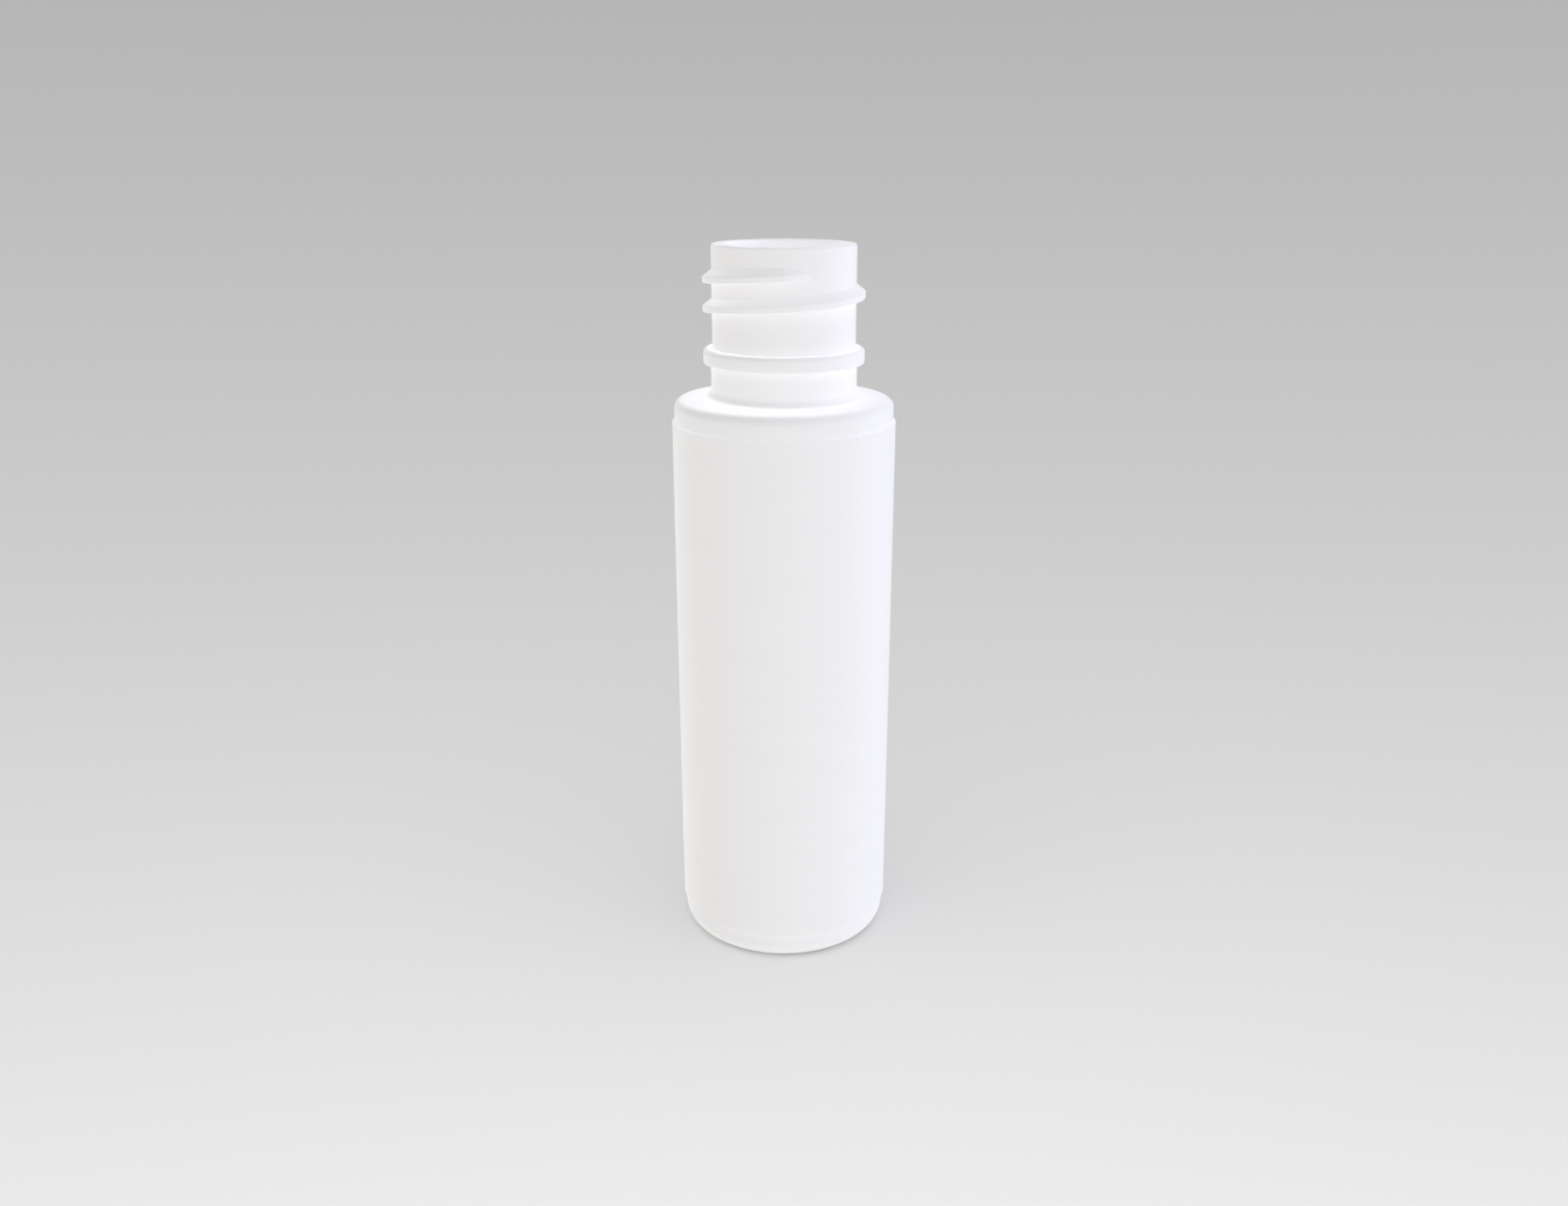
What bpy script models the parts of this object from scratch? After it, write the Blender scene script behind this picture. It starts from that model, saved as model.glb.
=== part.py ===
"""A small round cosmetic bottle: a blow-moulded bottle with a threaded neck, and the label wrapped round it.

Units are metres, +Z is up, and the origin is on the axis, in the plane that the bottle stands on. Angles are
measured about the axis from +X towards +Y, so the front of the bottle, -Y, is at -90 degrees.
"""

from math import atan2, ceil, cos, hypot, pi, radians, sin, tan

import bmesh
import bpy

MM = 0.001

# Body of the bottle
BODY_HEIGHT = 71.9 * MM  # from the ground to the flat shoulder
BODY_DIAMETER = 27.2 * MM  # at the shoulder and the heel, above and below the label panel
BODY_WALL = 0.9 * MM  # behind the label
SHOULDER_WALL = 1.2 * MM
SHOULDER_ROUND = 1.1 * MM
INNER_SHOULDER_ROUND = 0.5 * MM
HEEL_ROUND = 2.0 * MM
INNER_HEEL_ROUND = 1.5 * MM

# Base: a flat standing ring round a shallow push-up
BASE_WALL = 1.2 * MM
STANDING_RING_WIDTH = 1.6 * MM
PUSH_UP_DEPTH = 1.0 * MM
PUSH_UP_SLOPE_WIDTH = 4.0 * MM
PUSH_UP_ROUND = 3.0 * MM

# Neck, from the sealing rim down
FINISH_HEIGHT = 12.25 * MM  # from the rim to the top of the bead
BEAD_HEIGHT = 1.85 * MM
LOWER_NECK_HEIGHT = 4.5 * MM  # from the underside of the bead to the shoulder
NECK_DIAMETER = 17.5 * MM
NECK_WALL = 1.45 * MM
RIM_ROUND = 0.3 * MM
BEAD_PROUD = 1.13 * MM
BEAD_ROUND = 0.65 * MM
LOWER_NECK_PROUD = 0.2 * MM
NECK_FOOT_ROUND = 0.9 * MM
INNER_NECK_ROUND = 0.9 * MM

# Thread: one right-hand start, with a steep upper flank, a flat crest and a nearly flat underside
THREAD_PITCH = 3.44 * MM
THREAD_PROUD = 1.13 * MM
THREAD_CREST_WIDTH = 0.68 * MM
THREAD_START_DEPTH = 3.36 * MM  # from the rim to the middle of the crest at the upper end
THREAD_START_ANGLE = radians(-90)
THREAD_TURNS = 1.5
THREAD_RUNOUT_ANGLE = radians(22.5)  # over which each end sinks into the neck
THREAD_UPPER_FLANK = radians(38)
THREAD_LOWER_FLANK = radians(10)
THREAD_ROOT_SINK = 0.4 * MM  # how deep the ridge is rooted in the neck wall
THREAD_END_SINK = 0.05 * MM  # how far under the neck's face the crest ends

# Label: a film wrapped round a shallow panel in the body wall, with its two ends apart at the back
LABEL_THICKNESS = 0.28 * MM
LABEL_TOP_MARGIN = 2.6 * MM  # from the flat shoulder to the label's upper edge
LABEL_FOOT_MARGIN = 3.5 * MM  # from the ground to the label's lower edge
LABEL_SEAM_WIDTH = 1.0 * MM
LABEL_SEAM_ANGLE = radians(90)
LABEL_CLEARANCE = 0.3 * MM  # between the label and the bottle, on every side
PANEL_RECESS = 0.3 * MM
PANEL_STEP_HEIGHT = 0.3 * MM  # the slope at each end of the panel

# Fineness of the round surfaces
SEGMENTS = 64
LARGEST_ARC_STEP = radians(22.5)
MERGE_DISTANCE = 0.001 * MM
SHARP_ANGLE = radians(30)

# Colours are linear
BOTTLE_COLOUR = (0.86, 0.86, 0.87, 1)
LABEL_COLOUR = (0.88, 0.88, 0.89, 1)
BOTTLE_ROUGHNESS = 0.35
LABEL_ROUGHNESS = 0.4

# Places worked out from the sizes above
BODY_RADIUS = BODY_DIAMETER / 2
PANEL_RADIUS = BODY_RADIUS - PANEL_RECESS
INNER_RADIUS = PANEL_RADIUS - BODY_WALL
NECK_RADIUS = NECK_DIAMETER / 2
BORE_RADIUS = NECK_RADIUS - NECK_WALL
BEAD_FOOT = BODY_HEIGHT + LOWER_NECK_HEIGHT
BEAD_TOP = BEAD_FOOT + BEAD_HEIGHT
RIM_HEIGHT = BEAD_TOP + FINISH_HEIGHT
LABEL_FOOT = LABEL_FOOT_MARGIN
LABEL_TOP = BODY_HEIGHT - LABEL_TOP_MARGIN


def rounded(corners):
    """The outline through (radius, height, round) corners, with an arc of the third number at each corner.

    Where two neighbouring arcs would need more than the side between them, both shrink to share it.
    """
    count = len(corners)
    sides = [
        hypot(corners[i + 1][0] - corners[i][0], corners[i + 1][1] - corners[i][1])
        for i in range(count - 1)
    ]
    headings = [
        atan2(corners[i + 1][1] - corners[i][1], corners[i + 1][0] - corners[i][0])
        for i in range(count - 1)
    ]
    turns = [0] * count
    for i in range(1, count - 1):
        turns[i] = (headings[i] - headings[i - 1] + pi) % (2 * pi) - pi
    reaches = [corner[2] * tan(abs(turn) / 2) for corner, turn in zip(corners, turns)]
    points = [corners[0][:2]]
    for i in range(1, count - 1):
        radius, height, corner_round = corners[i]
        if not corner_round or not turns[i]:
            points.append((radius, height))
            continue
        share = min(
            1,
            sides[i - 1] / (reaches[i - 1] + reaches[i]),
            sides[i] / (reaches[i] + reaches[i + 1]),
        )
        arc_round = corner_round * share
        reach = reaches[i] * share
        side = 1 if turns[i] > 0 else -1
        start = (
            radius - reach * cos(headings[i - 1]),
            height - reach * sin(headings[i - 1]),
        )
        centre = (
            start[0] - side * arc_round * sin(headings[i - 1]),
            start[1] + side * arc_round * cos(headings[i - 1]),
        )
        steps = ceil(abs(turns[i]) / LARGEST_ARC_STEP)
        for step in range(steps + 1):
            angle = headings[i - 1] + turns[i] * step / steps - side * pi / 2
            points.append(
                (centre[0] + arc_round * cos(angle), centre[1] + arc_round * sin(angle))
            )
    points.append(corners[-1][:2])
    return points


def bottle_outline():
    """Half the bottle's section: up the inside from the middle of the floor, over the rim and down the outside."""
    ring_inner_radius = BODY_RADIUS - HEEL_ROUND - STANDING_RING_WIDTH
    push_up_radius = ring_inner_radius - PUSH_UP_SLOPE_WIDTH
    inner_shoulder = BODY_HEIGHT - SHOULDER_WALL
    bead_radius = NECK_RADIUS + BEAD_PROUD
    lower_neck_radius = NECK_RADIUS + LOWER_NECK_PROUD
    panel_top = LABEL_TOP + LABEL_CLEARANCE
    panel_foot = LABEL_FOOT - LABEL_CLEARANCE
    inside = [
        (0, PUSH_UP_DEPTH + BASE_WALL, 0),
        (push_up_radius, PUSH_UP_DEPTH + BASE_WALL, PUSH_UP_ROUND),
        (ring_inner_radius, BASE_WALL, PUSH_UP_ROUND),
        (INNER_RADIUS, BASE_WALL, INNER_HEEL_ROUND),
        (INNER_RADIUS, inner_shoulder, INNER_SHOULDER_ROUND),
        (BORE_RADIUS, inner_shoulder, INNER_NECK_ROUND),
        (BORE_RADIUS, RIM_HEIGHT, RIM_ROUND),
    ]
    neck = [
        (NECK_RADIUS, RIM_HEIGHT, RIM_ROUND),
        (NECK_RADIUS, BEAD_TOP, 0),
        (bead_radius, BEAD_TOP, BEAD_ROUND),
        (bead_radius, BEAD_FOOT, 0),
        (lower_neck_radius, BEAD_FOOT, 0),
        (lower_neck_radius, BODY_HEIGHT, NECK_FOOT_ROUND),
    ]
    body = [
        (BODY_RADIUS, BODY_HEIGHT, SHOULDER_ROUND),
        (BODY_RADIUS, panel_top + PANEL_STEP_HEIGHT, 0),
        (PANEL_RADIUS, panel_top, 0),
        (PANEL_RADIUS, panel_foot, 0),
        (BODY_RADIUS, panel_foot - PANEL_STEP_HEIGHT, 0),
        (BODY_RADIUS, 0, HEEL_ROUND),
        (ring_inner_radius, 0, PUSH_UP_ROUND),
        (push_up_radius, PUSH_UP_DEPTH, PUSH_UP_ROUND),
        (0, PUSH_UP_DEPTH, 0),
    ]
    return rounded(inside + neck + body)


def thread_section(turned, depth_share):
    """The thread's four corners at an angle turned back from its upper end, as (radius, height), rooted in the wall.

    depth_share is 1 where the ridge stands full and 0 where its crest has sunk under the neck's face.
    """
    crest_radius = NECK_RADIUS - THREAD_END_SINK + (THREAD_PROUD + THREAD_END_SINK) * depth_share
    root_radius = NECK_RADIUS - THREAD_ROOT_SINK
    middle = RIM_HEIGHT - THREAD_START_DEPTH - THREAD_PITCH * turned / (2 * pi)
    crest_top = middle + THREAD_CREST_WIDTH / 2
    crest_foot = middle - THREAD_CREST_WIDTH / 2
    root_depth = crest_radius - root_radius
    return [
        (root_radius, crest_top + root_depth * tan(THREAD_UPPER_FLANK)),
        (crest_radius, crest_top),
        (crest_radius, crest_foot),
        (root_radius, crest_foot - root_depth * tan(THREAD_LOWER_FLANK)),
    ]


def thread_sections():
    """The thread's sections from its upper end to its lower end, one on each line of the neck's facets."""
    facet = 2 * pi / SEGMENTS
    full_steps = round(THREAD_TURNS * SEGMENTS)
    runout_steps = max(1, round(THREAD_RUNOUT_ANGLE / facet))
    sections = []
    for step in range(-runout_steps, full_steps + runout_steps + 1):
        past_an_end = max(-step, step - full_steps, 0)
        angle = THREAD_START_ANGLE - step * facet
        sections.append(
            [
                (radius * cos(angle), radius * sin(angle), height)
                for radius, height in thread_section(step * facet, 1 - past_an_end / runout_steps)
            ]
        )
    return sections


def lofted_mesh(name, sections):
    """A closed mesh through like sections, with a face across each end."""
    count = len(sections[0])
    mesh = bpy.data.meshes.new(name)
    solid = bmesh.new()
    rings = [[solid.verts.new(point) for point in section] for section in sections]
    for ring, following in zip(rings, rings[1:]):
        for i in range(count):
            j = (i + 1) % count
            solid.faces.new((ring[i], ring[j], following[j], following[i]))
    solid.faces.new(rings[0])
    solid.faces.new(rings[-1])
    bmesh.ops.recalc_face_normals(solid, faces=solid.faces)
    solid.to_mesh(mesh)
    solid.free()
    return mesh


def outline_mesh(name, points):
    """The points as one line of edges in the XZ plane, for a Screw modifier to turn."""
    mesh = bpy.data.meshes.new(name)
    edges = [(i, i + 1) for i in range(len(points) - 1)]
    mesh.from_pydata([(radius, 0, height) for radius, height in points], edges, [])
    return mesh


def add_screw(obj, angle):
    """Turns the object's outline about its Z axis."""
    screw = obj.modifiers.new("turned", "SCREW")
    screw.axis = "Z"
    screw.angle = angle
    screw.steps = SEGMENTS
    screw.render_steps = SEGMENTS
    screw.use_merge_vertices = True
    screw.merge_threshold = MERGE_DISTANCE


def settle(obj):
    """Makes the object's modifiers part of its mesh, and shades it smooth but for its sharp edges."""
    graph = bpy.context.evaluated_depsgraph_get()
    mesh = bpy.data.meshes.new_from_object(obj.evaluated_get(graph))
    outline = obj.data
    obj.modifiers.clear()
    obj.data = mesh
    mesh.name = obj.name
    bpy.data.meshes.remove(outline)
    mesh.shade_smooth()
    mesh.set_sharp_from_angle(angle=SHARP_ANGLE)


def plastic(name, colour, roughness):
    """A Principled BSDF material in one colour."""
    material = bpy.data.materials.new(name)
    material.use_nodes = True
    shader = material.node_tree.nodes["Principled BSDF"]
    shader.inputs["Base Color"].default_value = colour
    shader.inputs["Roughness"].default_value = roughness
    shader.inputs["Metallic"].default_value = 0
    material.diffuse_color = colour
    return material


def new_collection(name):
    collection = bpy.data.collections.new(name)
    bpy.context.scene.collection.children.link(collection)
    return collection


def make_thread(helpers):
    """The thread's ridge, which is joined to the neck."""
    thread = bpy.data.objects.new("thread_ridge", lofted_mesh("thread_ridge", thread_sections()))
    helpers.objects.link(thread)
    thread.hide_render = True
    thread.display_type = "WIRE"
    return thread


def make_bottle(parts, helpers):
    """The bottle: its section turned about the axis, with the thread joined on."""
    bottle = bpy.data.objects.new("bottle", outline_mesh("bottle", bottle_outline()))
    parts.objects.link(bottle)
    add_screw(bottle, 2 * pi)
    thread = make_thread(helpers)
    join = bottle.modifiers.new("thread", "BOOLEAN")
    join.operation = "UNION"
    join.solver = "EXACT"
    join.object = thread
    settle(bottle)
    bottle.data.materials.append(plastic("bottle_plastic", BOTTLE_COLOUR, BOTTLE_ROUGHNESS))
    return bottle


def make_label(parts):
    """The label: a strip of film carried round the panel from one side of the seam to the other."""
    inner_radius = PANEL_RADIUS + LABEL_CLEARANCE
    seam = LABEL_SEAM_WIDTH / inner_radius
    label = bpy.data.objects.new(
        "label", outline_mesh("label", [(inner_radius, LABEL_TOP), (inner_radius, LABEL_FOOT)])
    )
    parts.objects.link(label)
    label.rotation_euler.z = LABEL_SEAM_ANGLE + seam / 2
    add_screw(label, 2 * pi - seam)
    film = label.modifiers.new("film", "SOLIDIFY")
    film.thickness = LABEL_THICKNESS
    film.offset = 1
    film.use_even_offset = True
    settle(label)
    label.data.materials.append(plastic("label_film", LABEL_COLOUR, LABEL_ROUGHNESS))
    return label


def main():
    for obj in list(bpy.data.objects):
        bpy.data.objects.remove(obj, do_unlink=True)
    parts = new_collection("cosmetic_bottle")
    helpers = new_collection("cutters")
    axis = bpy.data.objects.new("bottle_axis", None)
    parts.objects.link(axis)
    for obj in (make_bottle(parts, helpers), make_label(parts)):
        obj.parent = axis


main()
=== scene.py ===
"""A white plastic cosmetic bottle: a blow-moulded bottle with a threaded neck, and the blank label round it.

The file is laid out as an add-on and is run as a script. It loads the packed model as a frame, makes the
visible pieces and the stage they stand on, and hands them over. Lengths are in metres, +Z is up, and the
origin is on the bottle's axis, in the plane that it stands on. Angles are about that axis, from +X towards
+Y, so the front of the bottle is at -90 degrees.
"""

from math import ceil, cos, degrees, pi, radians, sin, tan

import bmesh
import bpy
import numpy as np
from bpy.props import FloatProperty, FloatVectorProperty, PointerProperty
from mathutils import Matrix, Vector


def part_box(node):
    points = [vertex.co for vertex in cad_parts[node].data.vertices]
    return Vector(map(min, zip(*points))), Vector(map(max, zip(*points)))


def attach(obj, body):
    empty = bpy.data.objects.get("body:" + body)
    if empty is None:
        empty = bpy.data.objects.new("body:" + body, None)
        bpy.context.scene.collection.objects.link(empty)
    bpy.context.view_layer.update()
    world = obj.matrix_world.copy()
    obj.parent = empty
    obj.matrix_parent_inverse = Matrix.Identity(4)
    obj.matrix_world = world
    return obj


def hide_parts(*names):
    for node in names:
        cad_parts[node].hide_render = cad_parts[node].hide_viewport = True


bl_info = {
    "name": "Cosmetic Bottle",
    "version": (1, 0, 0),
    "blender": (4, 5, 0),
    "location": "3D View > Sidebar > Bottle",
    "description": "A white plastic bottle with a threaded neck and a blank label, and its studio",
    "category": "Add Mesh",
}

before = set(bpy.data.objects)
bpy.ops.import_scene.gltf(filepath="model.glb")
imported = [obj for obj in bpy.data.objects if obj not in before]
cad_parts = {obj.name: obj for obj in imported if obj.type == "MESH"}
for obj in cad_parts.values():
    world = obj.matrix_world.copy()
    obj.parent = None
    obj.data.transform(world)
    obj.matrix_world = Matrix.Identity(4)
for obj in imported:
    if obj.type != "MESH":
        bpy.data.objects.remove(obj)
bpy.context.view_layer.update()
BOTTLE_LOW, BOTTLE_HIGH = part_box("bottle")
LABEL_LOW, LABEL_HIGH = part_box("label")

MM = 0.001

# Fineness of the surfaces
QUARTER_COLUMNS = 64
LABEL_COLUMNS = 256
CORNER_COLUMNS = 18  # over each rounded corner of the label
RIB_COLUMN_DEGREES = 0.25  # between the extra columns that carry the parting rib
RIB_COLUMNS = 3  # on each side of the rib's middle
ARC_STEPS = 6
SUPPORT_MARGIN = 0.12 * MM  # from a rounding to the row that keeps the side beside it flat
ROOM_FOR_SUPPORT = 3 * SUPPORT_MARGIN  # the shortest side that gets such a row at both its ends
LONGEST_ROW = 4 * MM
LONGEST_THREAD_ROW = 0.45 * MM
ROWS_UNDER_THREAD = 2  # from the foot of the thread's section to the next turn's
BAND_MARGIN = 0.2 * MM  # from the rim's rounding to the band that carries the thread
WELD_DISTANCE = 0.00002 * MM
SHARP_ANGLE = radians(60)
FLOOR_RADIUS = 10
FLOOR_RINGS = 24

# Widths of the materials' patterns. The mould's grain is about 0.05 mm wide on the real bottle, and the
# pits in the film's skin a few hundredths of a millimetre. Both are drawn coarser so that they show.
GRAIN_WIDTH = 0.3 * MM
SKIN_WIDTH = 0.35 * MM
FLOW_LINE_WIDTH = 1.5 * MM
FLOW_LINE_STRETCH = 0.03  # its scale upwards, against that across
FLOW_LINE_RELIEF = 0.6  # against the grain's
CLOUD_WIDTH = 9 * MM
ROLLER_WAVE_WIDTH = 2.5 * MM
ROLLER_WAVE_STRETCH = 0.25  # its scale round the bottle, against that upwards
SKIN_RELIEF = 0.4  # against the roller waves'
RELIEF_DEPTH = 0.02 * MM
PAINTED_BORE_SHADE = 0.93  # painted shade inside the bore, as a share of the outside's colour
BORE_MARGIN = 0.01 * MM  # from the bore's wall to where its painted shade ends

# The camera, which fits the photograph's frame
PICTURE_WIDTH = 1664  # pixels
FOCAL_LENGTH = 1400  # pixels
SENSOR_WIDTH = 36  # millimetres, as Blender's lens unit is
CAMERA_DISTANCE = 172.32 * MM
CAMERA_PITCH = radians(18.78)
AIM_HEIGHT = 45.04 * MM
CAMERA_NEAR = 10 * MM
CAMERA_FAR = 100


def linear(hex_colour):
    """The linear colour of an sRGB hex value such as "F4F4F6"."""
    shares = np.array(list(bytes.fromhex(hex_colour))) / 255
    return tuple(np.where(shares > 0.04045, ((shares + 0.055) / 1.055) ** 2.4, shares / 12.92))


def length(name, default, description):
    return FloatProperty(
        name=name,
        description=description,
        default=default,
        min=0,
        precision=5,
        subtype="DISTANCE",
        unit="LENGTH",
    )


def angle(name, default, description):
    return FloatProperty(
        name=name,
        description=description,
        default=radians(default),
        subtype="ANGLE",
        unit="ROTATION",
    )


def share(name, default, description):
    return FloatProperty(name=name, description=description, default=default, min=0, subtype="FACTOR")


def colour(name, default, description):
    return FloatVectorProperty(
        name=name,
        description=description,
        default=linear(default),
        size=3,
        min=0,
        max=1,
        subtype="COLOR",
    )


class BottleSizes(bpy.types.PropertyGroup):
    """The sizes of the bottle's section."""

    height: length("Height", BOTTLE_HIGH.z, "From the ground to the sealing rim")
    body_diameter: length("Body", BOTTLE_HIGH.x - BOTTLE_LOW.x, "Across the straight wall")
    shoulder_height: length("Shoulder", 71.9 * MM, "From the ground to the shoulder's outer edge")
    shoulder_rise: length("Shoulder rise", 0.43 * MM, "How much higher the shoulder is at the neck")
    shoulder_round: length("Shoulder round", 1.1 * MM, "Radius between the shoulder and the wall")
    heel_round: length("Heel round", 2 * MM, "Radius between the wall and the base")
    wall: length("Wall", 1.2 * MM, "Thickness of the wall, the shoulder and the base")
    inner_heel_round: length("Inner heel round", 1.5 * MM, "Radius inside the heel")
    inner_shoulder_round: length("Inner shoulder round", 0.5 * MM, "Radius inside the shoulder")
    inner_neck_round: length("Inner neck round", 0.9 * MM, "Radius where the bore meets the shoulder")
    standing_ring_width: length("Standing ring", 1.6 * MM, "Flat ring that the bottle stands on")
    push_up_depth: length("Push-up", 1 * MM, "Height of the hollow under the base")
    push_up_slope_width: length("Push-up slope", 4 * MM, "From the ring to the hollow's flat middle")
    push_up_round: length("Push-up round", 3 * MM, "Radius at each end of the slope")
    gate_radius: length("Gate", 1.3 * MM, "Radius of the gate's dimple in the middle of the base")
    gate_depth: length("Gate depth", 0.2 * MM, "Depth of the gate's dimple")
    neck_diameter: length("Neck", 17.5 * MM, "Across the neck's wall, without the thread")
    neck_wall: length("Neck wall", 1.45 * MM, "Thickness of the neck's wall")
    finish_height: length("Finish", 12.25 * MM, "From the rim to the top of the bead")
    rim_round: length("Rim round", 0.25 * MM, "Radius on the rim's outer edge")
    bead_height: length("Bead height", 1.85 * MM, "Height of the bead under the thread")
    bead_proud: length("Bead", 1.13 * MM, "How far the bead stands out from the neck")
    bead_round: length("Bead round", 0.65 * MM, "Radius on the bead's upper edge")
    lower_neck_proud: length("Lower neck", 0.2 * MM, "How far the neck under the bead stands out")
    neck_foot_round: length("Neck foot", 0.9 * MM, "Radius between the neck and the shoulder")
    edge_round: length("Edges", 0.1 * MM, "Radius on the other edges")
    rib_height: length("Parting rib", 0.03 * MM, "How far the line between the mould's halves stands out")
    rib_reach: length("Parting rib reach", 0.15 * MM, "From the middle of that line to its side")


class ThreadSizes(bpy.types.PropertyGroup):
    """The sizes of the neck's right-hand thread."""

    pitch: length("Pitch", 3.44 * MM, "How far one turn falls")
    proud: length("Depth", 1.13 * MM, "How far the crest stands out from the neck")
    crest_width: length("Crest", 0.68 * MM, "Width of the flat crest")
    start_depth: length("Start", 3.36 * MM, "From the rim to the crest's middle at the full thread's start")
    start_angle: angle("Start angle", -90, "Where the full thread starts")
    turns: share("Turns", 1.5, "Turns of full thread")
    runout: angle("Run-out", 22.5, "Over which each end sinks into the neck")
    upper_flank: angle("Upper flank", 38, "Slope of the upper side")
    lower_flank: angle("Underside", 10, "Slope of the lower side")
    crest_round: length("Crest round", 0.08 * MM, "Radius on both edges of the crest")
    foot_round: length("Foot round", 0.12 * MM, "Radius at the foot of each side")


class LabelSizes(bpy.types.PropertyGroup):
    """The sizes of the label."""

    foot: length("Foot", LABEL_LOW.z, "From the ground to the lower edge")
    top: length("Top", LABEL_HIGH.z, "From the ground to the upper edge")
    thickness: length("Film", 0.28 * MM, "Thickness of the film")
    gap: length("Gap", 0.01 * MM, "Between the film and the wall")
    edge_slant: length("Edge", 0.155 * MM, "Width of the slanted cut along the edges")
    corner_round: length("Corner", 1.5 * MM, "Radius of the corners beside the seam")
    seam_width: length("Seam", 1 * MM, "Between the label's two ends")
    seam_angle: angle("Seam angle", 90, "Where the two ends are")


class Finishes(bpy.types.PropertyGroup):
    """The colours of the pieces."""

    bottle: colour("Bottle", "F5F5F6", "White polyethylene")
    label: colour("Label", "F6F6F7", "White film")


class StageSettings(bpy.types.PropertyGroup):
    """The shades of the floor and the backdrop, as shares of white in linear light."""

    sky_light: share("Sky light", 1.35, "How much more light the backdrop gives than it shows")
    floor_light: share("Floor light", 1.0, "Light on the floor, where 1 would show white as white")
    bounce_shade: share("Bounce", 0.66, "Shade of the floor for the light that it sends on to the bottle")
    far_shade: share("Far floor", 0.503, "Shade of the floor and the backdrop at the horizon")
    # The floor's pool is painted light: its colour is paler round the foot of the camera.
    painted_pool_light: share("Pool", 0.34, "How much paler the floor is at the middle of its pale pool")
    pool_offset: length("Pool offset", 17 * MM, "How far the pool's palest part reaches")
    pool_length: length("Pool length", 40.5 * MM, "How far the pool spreads")
    pool_squeeze: share("Pool squeeze", 0.4, "How a distance along X counts, so that the pool is wide")
    zenith_fall: share("Backdrop fall", 0.38, "How fast the backdrop darkens upwards")
    zenith_height: share("Backdrop height", 0.4, "Where the backdrop stops darkening, as a sine")


def rounded_outline(corners):
    """The outline through (radius, height, round) corners, as rows of (radius, height).

    A corner becomes an arc of its third number that touches both its sides: it starts round x tan(turn / 2)
    before the corner, and its middle is one round to the side that the outline turns to. A corner with no
    round stays a point.
    """
    corners = np.array(corners, float)
    places, rounds = corners[:, :2], corners[1:-1, 2:]
    sides = np.diff(places, axis=0)
    headings = np.arctan2(sides[:, 1], sides[:, 0])[:, None]
    turns = (np.diff(headings, axis=0) + pi) % (2 * pi) - pi
    headings = headings[:-1]
    reaches = rounds * np.tan(abs(turns) / 2)
    starts = places[1:-1] - reaches * np.hstack([np.cos(headings), np.sin(headings)])
    swings = np.sign(turns) * rounds
    middles = starts + swings * np.hstack([-np.sin(headings), np.cos(headings)])
    angles = headings + turns * np.linspace(0, 1, ARC_STEPS + 1)
    arcs = middles[:, None] + swings[:, None] * np.stack([np.sin(angles), -np.cos(angles)], axis=2)
    rows = np.concatenate([places[:1], arcs.reshape(-1, 2), places[-1:]])
    apart = np.hypot(*np.diff(rows, axis=0).T) > WELD_DISTANCE
    return rows[np.append(apart, True)]


def divided(rows, longest):
    """The same outline with more rows on its straight sides.

    Each side is cut into equal lengths no longer than the longest, and a side with room for it also gets a
    row at the support margin from both its ends. The new rows lie at those distances along the outline.
    """
    steps = np.hypot(*np.diff(rows, axis=0).T)
    travel = np.concatenate([[0], np.cumsum(steps)])
    roomy = steps > ROOM_FOR_SUPPORT
    stops = [
        start + step * np.linspace(0, 1, ceil(step / longest) + 1)[:-1]
        for start, step in zip(travel, steps)
    ]
    stops += [travel[:-1][roomy] + SUPPORT_MARGIN, travel[1:][roomy] - SUPPORT_MARGIN, travel[-1:]]
    stops = np.sort(np.concatenate(stops))
    stops = stops[np.append(np.diff(stops) > WELD_DISTANCE, True)]
    return np.stack([np.interp(stops, travel, rows[:, 0]), np.interp(stops, travel, rows[:, 1])], axis=1)


def column_degrees():
    """The angles of one turn's columns: even ones, and extra ones beside each quarter for the rib."""
    even = np.arange(QUARTER_COLUMNS) * 90 / QUARTER_COLUMNS
    extra = np.arange(1, RIB_COLUMNS + 1) * RIB_COLUMN_DEGREES
    quarter = np.sort(np.concatenate([even, extra, 90 - extra]))
    return (quarter + 90 * np.arange(4)[:, None]).ravel()


def rib(sizes, radii, columns):
    """The parting rib's height, which is h (1 - (y / reach)^2)^2.

    y is the distance to the plane between the mould's halves.
    """
    sideways = radii * np.sin(np.radians(columns % 360))
    return sizes.rib_height * np.clip(1 - (sideways / sizes.rib_reach) ** 2, 0, 1) ** 2


def around(radii, heights, columns):
    """A grid of points from distances to the axis, heights, and the columns' angles in degrees."""
    angles = np.radians(columns % 360)
    return np.stack(np.broadcast_arrays(radii * np.cos(angles), radii * np.sin(angles), heights), axis=2)


def turned(rows, raised=0):
    """The outline turned about the axis, and raised along its own normal by that much at each point."""
    along = np.gradient(rows, axis=0)
    along /= np.hypot(along[:, 0], along[:, 1])[:, None]
    radii = rows[:, :1] - raised * along[:, 1:]
    heights = rows[:, 1:] + raised * along[:, :1]
    return around(radii, heights, column_degrees())


def faces_of(grid, closed):
    """The four-sided faces of a grid of points.

    Where the grid is closed, they go on from its last column to its first.
    """
    index = np.arange(grid.shape[0] * grid.shape[1]).reshape(grid.shape[:2])
    if closed:
        index = np.hstack([index, index[:, :1]])
    corners = [index[:-1, :-1], index[1:, :-1], index[1:, 1:], index[:-1, 1:]]
    return np.stack(corners, axis=2).reshape(-1, 4)


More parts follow.
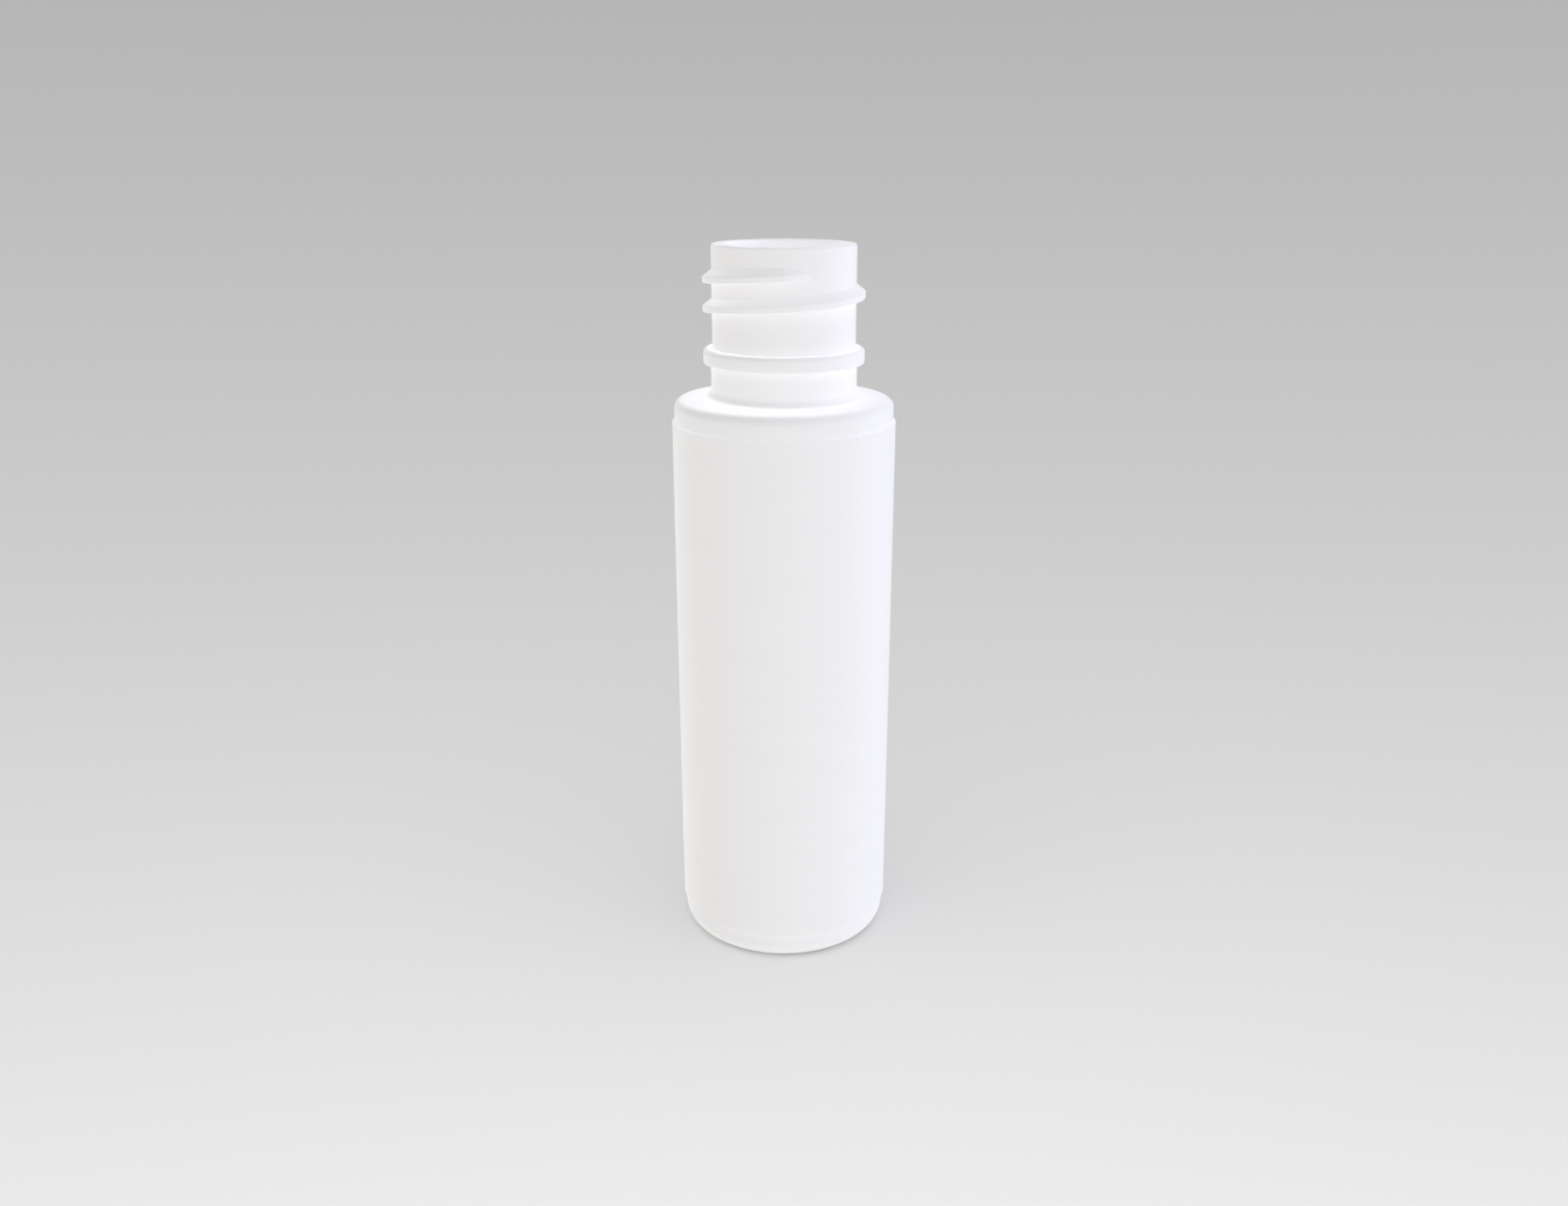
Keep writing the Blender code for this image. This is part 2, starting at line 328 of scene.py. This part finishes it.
def mesh_of(name, grids):
    """A mesh of all the grids, welded where they meet.

    They are given as pairs of points and whether they close round.
    """
    points = np.concatenate([grid.reshape(-1, 3) for grid, _ in grids])
    firsts = np.cumsum([0] + [grid.shape[0] * grid.shape[1] for grid, _ in grids[:-1]])
    faces = np.concatenate([faces_of(*pair) + first for pair, first in zip(grids, firsts)])
    mesh = bpy.data.meshes.new(name)
    mesh.vertices.add(len(points))
    mesh.vertices.foreach_set("co", points.astype(np.float32).ravel())
    mesh.loops.add(faces.size)
    mesh.loops.foreach_set("vertex_index", faces.astype(np.int32).ravel())
    mesh.polygons.add(len(faces))
    mesh.polygons.foreach_set("loop_start", np.arange(0, faces.size, 4, dtype=np.int32))
    mesh.update(calc_edges=True)
    welded = bmesh.new()
    welded.from_mesh(mesh)
    bmesh.ops.remove_doubles(welded, verts=welded.verts, dist=WELD_DISTANCE)
    bmesh.ops.recalc_face_normals(welded, faces=welded.faces)
    welded.to_mesh(mesh)
    welded.free()
    mesh.shade_smooth()
    mesh.set_sharp_from_angle(angle=SHARP_ANGLE)
    return mesh


def new_object(name, mesh):
    """An object of that mesh at the origin, in place of any that had its name."""
    if name in bpy.data.objects:
        bpy.data.objects.remove(bpy.data.objects[name])
    made = bpy.data.objects.new(name, mesh)
    bpy.context.scene.collection.objects.link(made)
    return made


def closed_piece(name, grids):
    """An object of the grids, which together close a solid."""
    mesh = mesh_of(name, grids)
    uses = np.zeros(len(mesh.edges), int)
    loop_edges = np.zeros(len(mesh.loops), np.int32)
    mesh.loops.foreach_get("edge_index", loop_edges)
    np.add.at(uses, loop_edges, 1)
    if (uses != 2).any():
        raise RuntimeError(f"{name} has {(uses != 2).sum()} edges that don't join two faces")
    return new_object(name, mesh)


def thread_rows(thread, reach):
    """The thread's section over one pitch, from the top down: depths, heights, and heights once sunk.

    Heights are above the crest's middle, and the section starts at the reach. Where the ridge has sunk into
    the neck, its sides have drawn in to the edges of the crest, which keeps its width.
    """
    half = thread.crest_width / 2
    upper_foot = half + thread.proud * tan(thread.upper_flank)
    lower_foot = -half - thread.proud * tan(thread.lower_flank)
    corners = [
        (0, upper_foot + thread.foot_round, 0),
        (0, upper_foot, thread.foot_round),
        (thread.proud, half, thread.crest_round),
        (thread.proud, -half, thread.crest_round),
        (0, lower_foot, thread.foot_round),
        (0, lower_foot - thread.foot_round, 0),
    ]
    depths, ridge = divided(rounded_outline(corners), LONGEST_THREAD_ROW).T
    above = np.arange(reach, ridge[0] + LONGEST_THREAD_ROW / 2, -LONGEST_THREAD_ROW)
    below = np.linspace(ridge[-1], reach - thread.pitch, ROWS_UNDER_THREAD + 1)[1:]
    depths = np.concatenate([0 * above, depths, 0 * below])
    full = np.concatenate([above, ridge, below])
    sunk = np.concatenate([above, np.clip(ridge, -half, half), below])
    return depths[:, None], full[:, None], sunk[:, None]


def neck_band(sizes, thread, top):
    """The neck's outer face from that height down, with the thread, and the height of its lower circle.

    It is a strip one pitch wide that winds down the neck. A point's height is the crest's middle at its
    angle, which falls by one pitch a turn, plus its row's own height in the thread's section, held between
    the level circles at the band's top and foot. Its distance from the axis is the neck's radius plus the
    section's depth, times the share of the thread that stands there: 1 along the thread, and down to 0 over
    each run-out.
    """
    even = 90 / QUARTER_COLUMNS
    runout = degrees(thread.runout)
    thread_start = degrees(thread.start_angle)
    strip_start = ceil(round((thread_start + 2 * runout) / even, 3)) * even
    strip_quarters = ceil(round(4 * (thread.turns + (strip_start - thread_start + runout) / 360), 3))
    band_turns = 1 + strip_quarters / 4
    columns = (column_degrees() - 360 * np.arange(-2, ceil(band_turns) + 2)[:, None]).ravel()
    columns = np.sort(columns)[::-1]
    inside = (columns <= strip_start + 360) & (columns >= strip_start - 360 * band_turns)
    columns = columns[inside]
    past_start = thread_start - columns
    middles = sizes.height - thread.start_depth - thread.pitch * past_start / 360
    start_middle = sizes.height - thread.start_depth - thread.pitch * (thread_start - strip_start) / 360
    depths, full, sunk = thread_rows(thread, top - start_middle)
    past_end = np.maximum(-past_start, past_start - 360 * thread.turns)
    standing = np.clip(1 - past_end / runout, 0, 1)
    foot = top - thread.pitch * band_turns
    heights = np.clip(middles + sunk + standing * (full - sunk), foot, top)
    neck_radius = sizes.neck_diameter / 2
    radii = neck_radius + standing * depths + rib(sizes, neck_radius, columns)
    return around(radii, heights, columns)[:, ::-1], foot


def bottle_grids(sizes, thread):
    """The bottle's surface, from its floor's middle up the inside, over the rim and down to the gate."""
    columns = column_degrees()
    body_radius = sizes.body_diameter / 2
    inner_radius = body_radius - sizes.wall
    neck_radius = sizes.neck_diameter / 2
    bore_radius = neck_radius - sizes.neck_wall
    ring_inner_radius = body_radius - sizes.heel_round - sizes.standing_ring_width
    push_up_radius = ring_inner_radius - sizes.push_up_slope_width
    floor_middle = sizes.push_up_depth + sizes.wall
    inner_shoulder = sizes.shoulder_height - sizes.wall
    inside = [
        (0, floor_middle, 0),
        (push_up_radius, floor_middle, sizes.push_up_round),
        (ring_inner_radius, sizes.wall, sizes.push_up_round),
        (inner_radius, sizes.wall, sizes.inner_heel_round),
        (inner_radius, inner_shoulder, sizes.inner_shoulder_round),
        (bore_radius, inner_shoulder, sizes.inner_neck_round),
        (bore_radius, sizes.height, sizes.edge_round),
        (neck_radius, sizes.height, sizes.rim_round),
        (neck_radius, sizes.height - sizes.rim_round, 0),
    ]
    band_top = sizes.height - sizes.rim_round - BAND_MARGIN
    band, band_foot = neck_band(sizes, thread, band_top)
    collar = np.array([(neck_radius, sizes.height - sizes.rim_round), (neck_radius, band_top)])
    bead_top = sizes.height - sizes.finish_height
    bead_foot = bead_top - sizes.bead_height
    bead_radius = neck_radius + sizes.bead_proud
    lower_neck_radius = neck_radius + sizes.lower_neck_proud
    gate_height = sizes.push_up_depth + sizes.gate_depth
    outside = [
        (neck_radius, band_foot, 0),
        (neck_radius, bead_top, sizes.edge_round),
        (bead_radius, bead_top, sizes.bead_round),
        (bead_radius, bead_foot, sizes.edge_round),
        (lower_neck_radius, bead_foot, sizes.edge_round),
        (lower_neck_radius, sizes.shoulder_height + sizes.shoulder_rise, sizes.neck_foot_round),
        (body_radius, sizes.shoulder_height, sizes.shoulder_round),
        (body_radius, 0, sizes.heel_round),
        (ring_inner_radius, 0, sizes.push_up_round),
        (push_up_radius, sizes.push_up_depth, sizes.push_up_round),
        (sizes.gate_radius, sizes.push_up_depth, sizes.edge_round),
        (sizes.gate_radius - sizes.gate_depth, gate_height, sizes.edge_round),
        (0, gate_height, 0),
    ]
    outside = divided(rounded_outline(outside), LONGEST_ROW)
    fading = np.clip(outside[:, 1:] / (2 * sizes.heel_round), 0, 1) ** 2
    collar_share = np.array([[0], [1]])
    return [
        (turned(divided(rounded_outline(inside), LONGEST_ROW)), True),
        (turned(collar, collar_share * rib(sizes, neck_radius, columns)), True),
        (band, False),
        (turned(outside, fading * rib(sizes, outside[:, :1], columns)), True),
    ]


def slanted(distance, label):
    """The share of the film's thickness at that distance from an edge, which is cut at a slant."""
    return np.clip(distance / label.edge_slant, 0, 1)


def label_grids(sizes, label):
    """The label's outer and inner face, on a grid of distances along the film and heights.

    The film's ends have round corners, so its edges draw in there by R - sqrt(R^2 - (R - x)^2) at x from the
    end, on columns at x = R (1 - cos a) for even steps of a, which are closer where the corner is steeper.
    Its thickness falls evenly to nothing over its slanted cut: T d / e at d from an edge, for a cut e wide.
    """
    inner_radius = sizes.body_diameter / 2 + label.gap
    film_length = 2 * pi * inner_radius - label.seam_width
    edge = np.array([0, label.edge_slant, label.edge_slant + SUPPORT_MARGIN])
    corner = label.corner_round * (1 - np.cos(np.linspace(0, pi / 2, CORNER_COLUMNS + 1)))
    end = np.unique(np.concatenate([edge, corner]))
    middle = np.linspace(label.corner_round, film_length - label.corner_round, LABEL_COLUMNS)
    along = np.concatenate([end[:-1], middle, film_length - end[-2::-1]])
    from_end = np.minimum(along, film_length - along)
    short = np.clip(label.corner_round - from_end, 0, None)
    inset = label.corner_round - np.sqrt(label.corner_round**2 - short**2)
    between = np.linspace(0, 1, ceil((label.top - label.foot) / LONGEST_ROW) + 1)[1:-1]
    shares = np.concatenate([0 * edge, between, 0 * edge + 1])[::-1, None]
    margins = np.concatenate([edge, 0 * between, -edge[::-1]])[::-1, None]
    lower = label.foot + inset
    upper = label.top - inset
    heights = lower + shares * (upper - lower) + margins
    from_edge = np.minimum(heights - lower, upper - heights)
    thickness = label.thickness * slanted(from_edge, label) * slanted(from_end, label)
    columns = np.degrees(label.seam_angle + (label.seam_width / 2 + along) / inner_radius)
    outer = around(inner_radius + thickness, heights, columns)
    inner = around(inner_radius + 0 * thickness, heights, columns)
    return [(outer, False), (inner[:, ::-1], False)]


def add_node(tree, kind, inputs, **settings):
    """Adds a node of that kind. Its inputs, by name or number, are values or the outputs that feed them."""
    node = tree.nodes.new(kind)
    for name, value in settings.items():
        setattr(node, name, value)
    for name, value in inputs.items():
        if isinstance(value, bpy.types.NodeSocket):
            tree.links.new(value, node.inputs[name])
        else:
            node.inputs[name].default_value = value
    return node


def new_material(name):
    """An empty material's node tree, with its coordinates, in place of any that had its name."""
    if name in bpy.data.materials:
        bpy.data.materials.remove(bpy.data.materials[name])
    material = bpy.data.materials.new(name)
    material.use_nodes = True
    material.node_tree.nodes.clear()
    place = add_node(material.node_tree, "ShaderNodeTexCoord", {}).outputs["Object"]
    return material, material.node_tree, place


def blown_polyethylene(tint, sizes):
    """White high-density polyethylene, blow-moulded against a fine-blasted steel mould.

    The mould gives it an even satin sheen with a very fine grain, the stretched parison leaves faint upright
    flow lines, and a little light passes into the white. Inside the bore its colour is darkened a little:
    painted shade.
    """
    material, tree, place = new_material("blow_moulded_white_polyethylene")
    grain = add_node(tree, "ShaderNodeTexNoise", {"Vector": place, "Scale": 1 / GRAIN_WIDTH, "Detail": 2})
    stretched = add_node(tree, "ShaderNodeMapping", {"Vector": place, "Scale": (1, 1, FLOW_LINE_STRETCH)})
    flow = add_node(
        tree,
        "ShaderNodeTexNoise",
        {"Vector": stretched.outputs[0], "Scale": 1 / FLOW_LINE_WIDTH, "Detail": 3},
    )
    cloud = add_node(tree, "ShaderNodeTexNoise", {"Vector": place, "Scale": 1 / CLOUD_WIDTH, "Detail": 2})
    value = add_node(
        tree, "ShaderNodeMapRange", {"Value": cloud.outputs[0], "To Min": 0.985, "To Max": 1.015}
    )
    # Painted shade: inside the bore, above its floor, the colour is darkened to the painted bore shade.
    level = add_node(tree, "ShaderNodeVectorMath", {0: place, 1: (1, 1, 0)}, operation="MULTIPLY")
    radius = add_node(tree, "ShaderNodeVectorMath", {0: level.outputs[0]}, operation="LENGTH")
    bore_radius = sizes.neck_diameter / 2 - sizes.neck_wall + BORE_MARGIN
    bored = add_node(
        tree, "ShaderNodeMath", {0: radius.outputs["Value"], 1: bore_radius}, operation="LESS_THAN"
    )
    height = add_node(tree, "ShaderNodeSeparateXYZ", {0: place}).outputs["Z"]
    floor_height = sizes.push_up_depth + sizes.wall / 2
    over = add_node(tree, "ShaderNodeMath", {0: height, 1: floor_height}, operation="GREATER_THAN")
    inside = add_node(
        tree, "ShaderNodeMath", {0: bored.outputs[0], 1: over.outputs[0]}, operation="MULTIPLY"
    )
    grey = add_node(
        tree, "ShaderNodeMapRange", {"Value": inside.outputs[0], "To Min": 1, "To Max": PAINTED_BORE_SHADE}
    )
    value = add_node(
        tree, "ShaderNodeMath", {0: value.outputs[0], 1: grey.outputs[0]}, operation="MULTIPLY"
    )
    shade = add_node(tree, "ShaderNodeHueSaturation", {"Value": value.outputs[0], "Color": (*tint, 1)})
    sheen = add_node(tree, "ShaderNodeMapRange", {"Value": flow.outputs[0], "To Min": 0.5, "To Max": 0.58})
    relief = add_node(
        tree,
        "ShaderNodeMath",
        {0: flow.outputs[0], 1: FLOW_LINE_RELIEF, 2: grain.outputs[0]},
        operation="MULTIPLY_ADD",
    )
    bump = add_node(
        tree, "ShaderNodeBump", {"Height": relief.outputs[0], "Strength": 0.12, "Distance": RELIEF_DEPTH}
    )
    shader = add_node(
        tree,
        "ShaderNodeBsdfPrincipled",
        {
            "Base Color": shade.outputs[0],
            "Roughness": sheen.outputs[0],
            "Normal": bump.outputs[0],
            "IOR": 1.54,
            "Specular IOR Level": 0.35,
            "Subsurface Weight": 0.15,
            "Subsurface Radius": (0.9, 0.9, 1),
            "Subsurface Scale": 0.8 * MM,
        },
    )
    add_node(tree, "ShaderNodeOutputMaterial", {"Surface": shader.outputs[0]})
    return material


def polypropylene_film(tint):
    """White cavitated polypropylene film, cast, stretched and die-cut into a blank label.

    It is even in colour and a little smoother than the bottle, and the rollers leave a faint cross ripple.
    """
    material, tree, place = new_material("cast_white_polypropylene_film")
    stretch = (ROLLER_WAVE_STRETCH, ROLLER_WAVE_STRETCH, 1)
    stretched = add_node(tree, "ShaderNodeMapping", {"Vector": place, "Scale": stretch})
    roll = add_node(
        tree,
        "ShaderNodeTexNoise",
        {"Vector": stretched.outputs[0], "Scale": 1 / ROLLER_WAVE_WIDTH, "Detail": 2},
    )
    skin = add_node(tree, "ShaderNodeTexNoise", {"Vector": place, "Scale": 1 / SKIN_WIDTH, "Detail": 1})
    value = add_node(tree, "ShaderNodeMapRange", {"Value": roll.outputs[0], "To Min": 0.99, "To Max": 1.01})
    shade = add_node(tree, "ShaderNodeHueSaturation", {"Value": value.outputs[0], "Color": (*tint, 1)})
    sheen = add_node(tree, "ShaderNodeMapRange", {"Value": skin.outputs[0], "To Min": 0.46, "To Max": 0.54})
    relief = add_node(
        tree,
        "ShaderNodeMath",
        {0: skin.outputs[0], 1: SKIN_RELIEF, 2: roll.outputs[0]},
        operation="MULTIPLY_ADD",
    )
    bump = add_node(
        tree, "ShaderNodeBump", {"Height": relief.outputs[0], "Strength": 0.1, "Distance": RELIEF_DEPTH}
    )
    shader = add_node(
        tree,
        "ShaderNodeBsdfPrincipled",
        {
            "Base Color": shade.outputs[0],
            "Roughness": sheen.outputs[0],
            "Normal": bump.outputs[0],
            "IOR": 1.49,
            "Specular IOR Level": 0.35,
        },
    )
    add_node(tree, "ShaderNodeOutputMaterial", {"Surface": shader.outputs[0]})
    return material


def shown_rays(tree):
    """1 for the rays that show the stage, which are the camera's and those that gloss or glass sends on."""
    path = add_node(tree, "ShaderNodeLightPath", {})
    shown = path.outputs["Is Camera Ray"]
    for kind in ("Is Glossy Ray", "Is Transmission Ray"):
        both = add_node(tree, "ShaderNodeMath", {0: shown, 1: path.outputs[kind]}, operation="MAXIMUM")
        shown = both.outputs[0]
    return shown


def matt_floor(stage):
    """A matt painted floor, grey at the horizon and paler in a wide pool of painted light round the foot of
    the camera.

    Seen by the camera, it shows far + length / (d + offset) at a distance d from the pool's middle, measured
    short of its true value along X, so that the pool is wide. It keeps the shadows that fall on it. For the
    light that it sends on to the bottle it is an even pale shade.
    """
    material, tree, place = new_material("matt_painted_floor")
    # Painted light: the floor's colour is paler in a pool round the foot of the camera.
    camera_foot = Vector((0, -CAMERA_DISTANCE * cos(CAMERA_PITCH), 0))
    squeezed = add_node(tree, "ShaderNodeVectorMath", {0: place, 1: camera_foot}, operation="SUBTRACT")
    squeezed = add_node(
        tree,
        "ShaderNodeVectorMath",
        {0: squeezed.outputs[0], 1: (stage.pool_squeeze, 1, 0)},
        operation="MULTIPLY",
    )
    distance = add_node(tree, "ShaderNodeVectorMath", {0: squeezed.outputs[0]}, operation="LENGTH")
    farther = add_node(
        tree, "ShaderNodeMath", {0: distance.outputs["Value"], 1: stage.pool_offset}, operation="ADD"
    )
    pool = add_node(
        tree, "ShaderNodeMath", {0: stage.pool_length, 1: farther.outputs[0]}, operation="DIVIDE"
    )
    held = add_node(tree, "ShaderNodeMath", {0: pool.outputs[0], 1: stage.painted_pool_light}, operation="MINIMUM")
    shown = add_node(tree, "ShaderNodeMath", {0: held.outputs[0], 1: stage.far_shade}, operation="ADD")
    painted = add_node(
        tree, "ShaderNodeMath", {0: shown.outputs[0], 1: stage.floor_light}, operation="DIVIDE"
    )
    shade = add_node(
        tree,
        "ShaderNodeMapRange",
        {"Value": shown_rays(tree), "To Min": stage.bounce_shade, "To Max": painted.outputs[0]},
    )
    shader = add_node(tree, "ShaderNodeBsdfDiffuse", {"Color": shade.outputs[0], "Roughness": 0})
    add_node(tree, "ShaderNodeOutputMaterial", {"Surface": shader.outputs[0]})
    return material


def make_floor(stage):
    """A round floor, on rings that are closer in the middle.

    A ring's distance from the middle grows as the square of its number.
    """
    rings = FLOOR_RADIUS * np.linspace(0, 1, FLOOR_RINGS + 1)[:, None] ** 2
    floor = new_object("floor", mesh_of("floor", [(around(rings, 0 * rings, column_degrees()), True)]))
    floor.data.materials.append(matt_floor(stage))
    return floor


def make_backdrop(stage):
    """The world: the far floor's grey at the horizon, darkening evenly upwards to a steady shade.

    It gives more light than it shows, as a studio does whose lamps are out of the picture.
    """
    world = bpy.data.worlds.get("backdrop") or bpy.data.worlds.new("backdrop")
    bpy.context.scene.world = world
    world.use_nodes = True
    tree = world.node_tree
    tree.nodes.clear()
    direction = add_node(tree, "ShaderNodeTexCoord", {}).outputs["Generated"]
    upwards = add_node(tree, "ShaderNodeSeparateXYZ", {0: direction})
    shade = add_node(
        tree,
        "ShaderNodeMapRange",
        {
            "Value": upwards.outputs["Z"],
            "From Min": 0,
            "From Max": stage.zenith_height,
            "To Min": stage.far_shade,
            "To Max": stage.far_shade - stage.zenith_fall * stage.zenith_height,
        },
    )
    strength = add_node(
        tree, "ShaderNodeMapRange", {"Value": shown_rays(tree), "To Min": stage.sky_light, "To Max": 1}
    )
    light = add_node(
        tree, "ShaderNodeBackground", {"Color": shade.outputs[0], "Strength": strength.outputs[0]}
    )
    add_node(tree, "ShaderNodeOutputWorld", {"Surface": light.outputs[0]})


# Soft lamps: name, degrees round from the front towards +X, degrees up, level, degrees across, colour,
# whether it lights the floor and not the bottle, and whether it casts shadows. A level of 1 lights a white
# face that looks at the lamp up to white. The photograph shows an evenly bright shoulder right round the
# neck and bright edges under the threads, so the lamps above, below, beside and behind the bottle cast no
# shadow. The floor has a lamp of its own, whose shadow it keeps.
LAMPS = (
    ("floor_overhead", 0, 75, 0.53, 80, "FFFFFF", True, True),
    ("front_left", -45, 0, 0.19, 60, "FFF0DE", False, True),
    ("front_right", 45, 0, 0.2, 60, "E8E8FF", False, True),
    ("right_side", 105, 20, 0.425, 60, "ECECFF", False, False),
    ("left_side", -135, -20, 0.22, 60, "FFFFFF", False, False),
    ("back", -165, 35, 0.27, 30, "FFFFFF", False, False),
    ("above", 0, 90, 0.09, 30, "FFFFFF", False, False),
    ("below", 0, -50, 0.23, 60, "FFFFFA", False, False),
)


def make_lamps(floor):
    """The lamps, so far away that each one's light comes evenly from its own round patch of sky."""
    for name, azimuth, elevation, level, across, tint, on_floor, shadows in LAMPS:
        lamp = bpy.data.lights.new(name, "SUN")
        lamp.energy = pi * level
        lamp.angle = radians(across)
        lamp.color = linear(tint)
        lamp.use_shadow = shadows
        lamp.cycles.use_multiple_importance_sampling = shadows
        azimuth, elevation = radians(azimuth), radians(elevation)
        towards = Vector((sin(azimuth) * cos(elevation), -cos(azimuth) * cos(elevation), sin(elevation)))
        stand = new_object(name, lamp)
        stand.rotation_euler = towards.to_track_quat("Z", "Y").to_euler()
        receivers_name = f"{name}_receivers"
        receivers = bpy.data.collections.get(receivers_name) or bpy.data.collections.new(receivers_name)
        receivers.objects.link(floor)
        receivers.collection_objects[0].light_linking.link_state = "INCLUDE" if on_floor else "EXCLUDE"
        stand.light_linking.receiver_collection = receivers


def make_camera():
    """The camera, which looks down at the aim on the bottle's axis."""
    lens = bpy.data.cameras.new("camera")
    lens.sensor_width = SENSOR_WIDTH
    lens.lens = SENSOR_WIDTH * FOCAL_LENGTH / PICTURE_WIDTH
    lens.clip_start = CAMERA_NEAR
    lens.clip_end = CAMERA_FAR
    camera = new_object("camera", lens)
    back = Vector((0, -cos(CAMERA_PITCH), sin(CAMERA_PITCH)))
    camera.location = Vector((0, 0, AIM_HEIGHT)) + CAMERA_DISTANCE * back
    camera.rotation_euler = back.to_track_quat("Z", "Y").to_euler()
    bpy.context.scene.camera = camera


class COSMETIC_OT_add_bottle(bpy.types.Operator):
    """Make the bottle, with its threaded neck"""

    bl_idname = "cosmetic.add_bottle"
    bl_label = "Bottle"
    bl_options = {"REGISTER", "UNDO"}

    def execute(self, context):
        scene = context.scene
        bottle = closed_piece("bottle_shell", bottle_grids(scene.bottle_sizes, scene.thread_sizes))
        bottle.data.materials.append(blown_polyethylene(scene.bottle_finishes.bottle, scene.bottle_sizes))
        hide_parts("bottle")
        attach(bottle, "root")
        return {"FINISHED"}


class COSMETIC_OT_add_label(bpy.types.Operator):
    """Make the blank label round the bottle's wall"""

    bl_idname = "cosmetic.add_label"
    bl_label = "Label"
    bl_options = {"REGISTER", "UNDO"}

    def execute(self, context):
        scene = context.scene
        label = closed_piece("wrap_label", label_grids(scene.bottle_sizes, scene.label_sizes))
        label.data.materials.append(polypropylene_film(scene.bottle_finishes.label))
        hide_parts("label")
        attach(label, "root")
        return {"FINISHED"}


class COSMETIC_OT_add_stage(bpy.types.Operator):
    """Make the floor, the backdrop, the lamps and the camera"""

    bl_idname = "cosmetic.add_stage"
    bl_label = "Stage"
    bl_options = {"REGISTER", "UNDO"}

    def execute(self, context):
        stage = context.scene.bottle_stage
        make_backdrop(stage)
        make_lamps(make_floor(stage))
        make_camera()
        context.scene.view_settings.view_transform = "Standard"
        return {"FINISHED"}


class VIEW3D_PT_cosmetic_bottle(bpy.types.Panel):
    """Lists the bottle's pieces, and their sizes and colours"""

    bl_label = "Cosmetic Bottle"
    bl_space_type = "VIEW_3D"
    bl_region_type = "UI"
    bl_category = "Bottle"

    def draw(self, context):
        layout = self.layout
        for operator in OPERATORS:
            layout.operator(operator.bl_idname)
        for name, group in SETTINGS.items():
            box = layout.box()
            box.label(text=group.__doc__)
            for field in group.__annotations__:
                box.prop(getattr(context.scene, name), field)


SETTINGS = {
    "bottle_sizes": BottleSizes,
    "thread_sizes": ThreadSizes,
    "label_sizes": LabelSizes,
    "bottle_finishes": Finishes,
    "bottle_stage": StageSettings,
}
OPERATORS = (COSMETIC_OT_add_bottle, COSMETIC_OT_add_label, COSMETIC_OT_add_stage)
CLASSES = (*SETTINGS.values(), *OPERATORS, VIEW3D_PT_cosmetic_bottle)


def register():
    for cls in CLASSES:
        bpy.utils.register_class(cls)
    for name, group in SETTINGS.items():
        setattr(bpy.types.Scene, name, PointerProperty(type=group))


def unregister():
    for name in SETTINGS:
        delattr(bpy.types.Scene, name)
    for cls in reversed(CLASSES):
        bpy.utils.unregister_class(cls)


def main():
    register()
    bpy.ops.cosmetic.add_bottle()
    bpy.ops.cosmetic.add_label()
    bpy.ops.cosmetic.add_stage()


if __name__ == "__main__":
    main()
